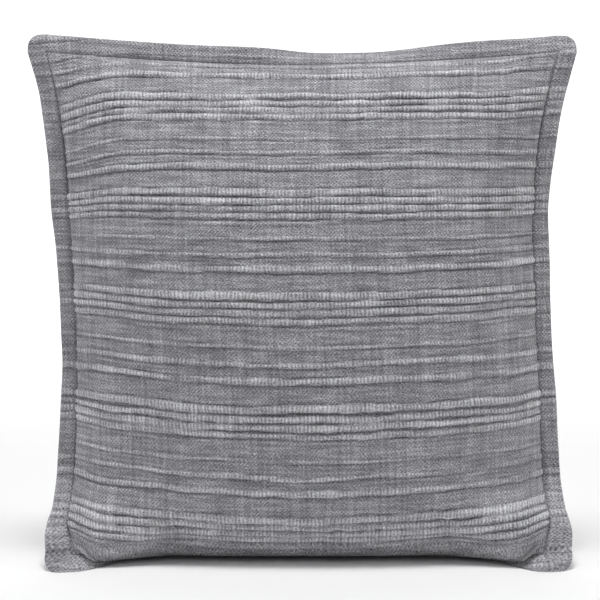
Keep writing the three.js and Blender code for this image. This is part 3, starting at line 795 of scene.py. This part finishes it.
def dashes(path, closed, length, gap, radius, sides=6):
    """Stitches along a path: small rounded lengths of thread, in mm."""
    line = np.concatenate([path, path[:1]]) if closed else path
    along = np.concatenate([[0], np.cumsum(np.linalg.norm(np.diff(line, axis=0), axis=1))])
    count = int(along[-1] // (length + gap))
    starts = np.arange(count) * along[-1] / count + gap / 2
    rings = np.array([0, 0.06, 0.28, 0.72, 0.94, 1.0])
    thick = np.array([0.35, 0.8, 1.0, 1.0, 0.8, 0.35]) * radius
    dip = np.array([-0.5, -0.15, 0, 0, -0.15, -0.5]) * radius
    turn = np.linspace(0, 2 * math.pi, sides, endpoint=False)
    points, quads = [], []
    middle = line.mean(axis=0)
    for start in starts:
        at = start + rings * length
        centre = np.stack([np.interp(at, along, line[:, axis]) for axis in range(3)], axis=1)
        tangent = unit(centre[-1] - centre[0])
        side = unit((middle - centre[0]) - tangent * np.dot(middle - centre[0], tangent))
        up = np.cross(tangent, side)
        base = sum(len(p) for p in points)
        ring = (side * np.cos(turn)[:, None] + up * np.sin(turn)[:, None])
        stitch = centre[:, None] + thick[:, None, None] * ring[None] + (dip[:, None] * up)[:, None]
        points.append(stitch.reshape(-1, 3))
        for r in range(len(rings) - 1):
            for k in range(sides):
                n = (k + 1) % sides
                quads.append([base + r * sides + k, base + r * sides + n,
                              base + (r + 1) * sides + n, base + (r + 1) * sides + k])
        for r in (0, len(rings) - 1):
            ids = [base + r * sides + k for k in range(sides)]
            ids = ids[::-1] if r == 0 else ids
            quads += [[ids[0], ids[1], ids[2], ids[3]], [ids[0], ids[3], ids[4], ids[5]]]
    return np.concatenate(points), np.array(quads)


def seam_stitches(name, points, normals, u, v, node, made):
    """Stitches round the body, in the crease at the flange."""
    left, right = np.argmin(np.abs(u[0] + HALF_U + 1.0)), np.argmin(np.abs(u[0] - HALF_U - 1.0))
    low, high = np.argmin(np.abs(v[:, 0] + HALF_V + 1.0)), np.argmin(np.abs(v[:, 0] - HALF_V - 1.0))
    lifted = points + normals * 0.22
    path = np.concatenate([
        lifted[low, left:right], lifted[low:high, right],
        lifted[high, right:left:-1], lifted[high:low:-1, left],
    ])
    mesh = build_mesh(name, *dashes(path, True, 3.3, 1.0, 0.33))
    finish(link(name, mesh), made, [node])


seam_stitches("flange_stitches_front", front_points, grid_normals(front_points), U, V,
              "flange_thread_front", THREAD)
back_points = cover(U, V, 1, back_form, back_move)[0]
seam_stitches("flange_stitches_back", back_points, -grid_normals(back_points), U, V,
              "flange_thread_back", THREAD)


def insert_stitches():
    edge = np.concatenate([shell_front[0, :-1], shell_front[:-1, -1],
                           shell_front[-1, :0:-1], shell_front[:0:-1, 0]])
    out = unit(edge - np.array([0, 0, MIDDLE_HEIGHT]))
    mesh = build_mesh("insert_seam_stitches", *dashes(edge + out * 0.9, True, 3.0, 1.2, 0.35))
    finish(link("insert_seam_stitches", mesh), TICKING, ["insert_edge_thread"])
    low, high = (np.array(corner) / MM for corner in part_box("insert_closing_stitch"))
    heights = np.linspace(low[2], high[2], 40)
    side = np.interp(heights, shell_front[:, -1, 2], shell_front[:, -1, 0]) + 2.4
    path = np.stack([side, 0 * heights, heights], axis=-1)
    mesh = build_mesh("closing_stitches", *dashes(path, False, 4.2, 2.0, 0.4))
    finish(link("closing_stitches", mesh), TICKING, ["insert_closing_stitch"])


insert_stitches()


# Zipper

TAPE_TAIL = 8.0
STOP_ROOM = 4.0  # from the chain's end to the coil's


def from_zip(points):
    """Points along, up and out of the zipper, in mm."""
    points = np.asarray(points, float)
    return ZIP_POINT + points[..., :1] * ALONG + points[..., 1:2] * UP + points[..., 2:] * OUT


def coil(side):
    half, turns, steps, sides = CHAIN_HALF - STOP_ROOM, 176, 12, 5
    phase = np.linspace(0, turns * 2 * math.pi, turns * steps + 1)
    x = np.linspace(-half, half, len(phase))
    centre = np.stack([x, side * (1.85 + 0.98 * np.cos(phase)), 1.8 + 0.62 * np.sin(phase)], axis=-1)
    tangent = unit(np.gradient(centre, axis=0))
    out = unit(np.cross(tangent, np.array([1.0, 0, 0])))
    other = np.cross(tangent, out)
    turn = np.linspace(0, 2 * math.pi, sides, endpoint=False)
    ring = out[:, None] * np.cos(turn)[:, None] + other[:, None] * np.sin(turn)[:, None]
    tube = from_zip(centre[:, None] + 0.25 * ring)
    tube = np.concatenate([tube, tube[:, :1]], axis=1)
    quads = grid_faces(*tube.shape[:2])
    index = quads % (sides + 1)
    quads = quads - np.where(index == sides, sides, 0)
    return tube.reshape(-1, 3), quads


def tape(side):
    """A woven tape with a raised edge beside the coil."""
    x = np.linspace(-CHAIN_HALF - TAPE_TAIL, CHAIN_HALF + TAPE_TAIL, 297)
    across = np.concatenate([[0.6], np.linspace(0.75, 14.3, 24), [14.6]])
    a, b = np.meshgrid(x, across)
    top = 0.6 - 0.12 * np.abs(np.sin(b * math.pi / 2.3)) * (b > 4) * (b < 14.3)
    top = np.where((b < 0.7) | (b > 14.5), 0.42, top)
    low = np.where((b < 0.7) | (b > 14.5), 0.18, 0.0)
    upper = from_zip(np.stack([a, side * b, top], axis=-1)).reshape(-1, 3)
    lower = from_zip(np.stack([a, side * b, low], axis=-1)).reshape(-1, 3)
    rows, columns = a.shape
    cells = grid_faces(rows, columns, flip=side > 0)
    count = rows * columns
    index = np.arange(count).reshape(rows, columns)
    loop = np.concatenate([index[0, :-1], index[:-1, -1], index[-1, :0:-1], index[:0:-1, 0]])
    after = np.roll(loop, -1)
    rim = np.stack([loop, after, after + count, loop + count], axis=-1)
    rim = rim if side > 0 else rim[:, ::-1]
    return np.concatenate([upper, lower]), np.concatenate([cells, cells[:, ::-1] + count, rim])


for word, side in (("upper", 1), ("lower", -1)):
    mesh = build_mesh(f"tape_{word}", *tape(side))
    finish(link(f"tape_{word}", mesh), TAPE, [f"zipper_tape_{word}"])
    mesh = build_mesh(f"coil_{word}", *coil(side))
    finish(link(f"coil_{word}", mesh), NYLON, [f"zipper_coil_{word}"])
    x = np.linspace(0.5 - CHAIN_HALF, CHAIN_HALF - 0.5, 200)
    path = from_zip(np.stack([x, 0 * x + side * 8, 0 * x + 2.5], axis=-1))
    mesh = build_mesh(f"zipper_stitches_{word}", *dashes(path, False, 3.0, 1.0, 0.33))
    finish(link(f"zipper_stitches_{word}", mesh), THREAD, [f"zipper_stitch_{word}"])


def bevelled(name, node, made, body, width):
    """A CAD piece with its edges eased."""
    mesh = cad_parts[node].data.copy()
    mesh.name = name
    work = bmesh.new()
    work.from_mesh(mesh)
    bmesh.ops.remove_doubles(work, verts=work.verts, dist=2e-6)
    bmesh.ops.dissolve_limit(work, angle_limit=0.02, verts=work.verts, edges=work.edges)
    sharp = [e for e in work.edges if e.is_manifold and e.calc_face_angle() > 0.5]
    bmesh.ops.bevel(work, geom=sharp, offset=width * MM, segments=3, profile=0.5, affect="EDGES",
                    clamp_overlap=True)
    for face in work.faces:
        face.smooth = True
    work.to_mesh(mesh)
    work.free()
    piece = link(name, mesh)
    return finish(piece, made, [node], body)


bevelled("slider_body", "zipper_slider", METAL, "slider", 0.16)
bevelled("pull", "zipper_pull_tab", METAL, "pull_tab", 0.3)
for node in ("zipper_top_stop_upper", "zipper_top_stop_lower", "zipper_bottom_stop"):
    bevelled(node.replace("zipper_", ""), node, METAL, "cushion", 0.35)
bevelled("label", "care_label", LABEL, "cushion", 0.2)


# Floor, light and camera

def stage():
    paint, tree, shader = material("backdrop", (0.86, 0.86, 0.86), 0.8)
    shader.inputs["Emission Color"].default_value = (1, 1, 1, 1)
    split = tree.nodes.new("ShaderNodeSeparateXYZ")
    tree.links.new(tree.nodes.new("ShaderNodeTexCoord").outputs["Object"], split.inputs[0])
    fade = tree.nodes.new("ShaderNodeMapRange")
    fade.interpolation_type = "SMOOTHSTEP"
    fade.inputs["From Min"].default_value = 0.1
    fade.inputs["From Max"].default_value = 2.2
    fade.inputs["To Min"].default_value = 0.0
    fade.inputs["To Max"].default_value = 0.75
    tree.links.new(split.outputs["Y"], fade.inputs["Value"])
    tree.links.new(fade.outputs[0], shader.inputs["Emission Strength"])
    turn = np.linspace(0, math.pi / 2, 16)
    floor = [(-6.0, 0.0)] + [(3 + 1.5 * math.sin(t), 1.5 - 1.5 * math.cos(t)) for t in turn] + [(4.5, 6.0)]
    vertices = [(x, y, z) for y, z in floor for x in (-8.0, 8.0)]
    faces = [(2 * k, 2 * k + 1, 2 * k + 3, 2 * k + 2) for k in range(len(floor) - 1)]
    mesh = bpy.data.meshes.new("backdrop")
    mesh.from_pydata(vertices, [], faces)
    mesh.polygons.foreach_set("use_smooth", [True] * len(faces))
    piece = link("backdrop", mesh)
    piece.data.materials.append(paint)


def area_light(name, spot, target, size, power):
    data = bpy.data.lights.new(name, "AREA")
    data.shape = "DISK"
    data.size = size
    data.energy = power
    lamp = bpy.data.objects.new(name, data)
    bpy.context.scene.collection.objects.link(lamp)
    lamp.location = spot
    lamp.rotation_euler = (Vector(target) - Vector(spot)).to_track_quat("-Z", "Y").to_euler()


def studio():
    world = bpy.data.worlds.new("studio")
    bpy.context.scene.world = world
    world.use_nodes = True
    background = world.node_tree.nodes["Background"]
    background.inputs["Color"].default_value = (1, 1, 1, 1)
    background.inputs["Strength"].default_value = 0.22
    area_light("top_light", (0.0, -0.35, 1.9), (0, 0, 0.2), 0.7, 25)
    area_light("left_light", (-1.7, -0.5, 0.9), (0, 0, 0.25), 0.9, 8.5)
    area_light("right_light", (1.7, -0.5, 0.9), (0, 0, 0.25), 0.9, 8)


def camera():
    data = bpy.data.cameras.new("camera")
    data.lens = 107.5
    data.sensor_width = 36
    eye = bpy.data.objects.new("camera", data)
    bpy.context.scene.collection.objects.link(eye)
    tilt = math.radians(4)
    target = np.array([-0.002, 0, 0.2155])
    eye.location = target + 1.5 * np.array([0, -math.cos(tilt), math.sin(tilt)])
    eye.rotation_euler = (math.pi / 2 - tilt, 0, 0)
    bpy.context.scene.camera = eye


stage()
studio()
camera()
bpy.context.scene.view_settings.view_transform = "Standard"
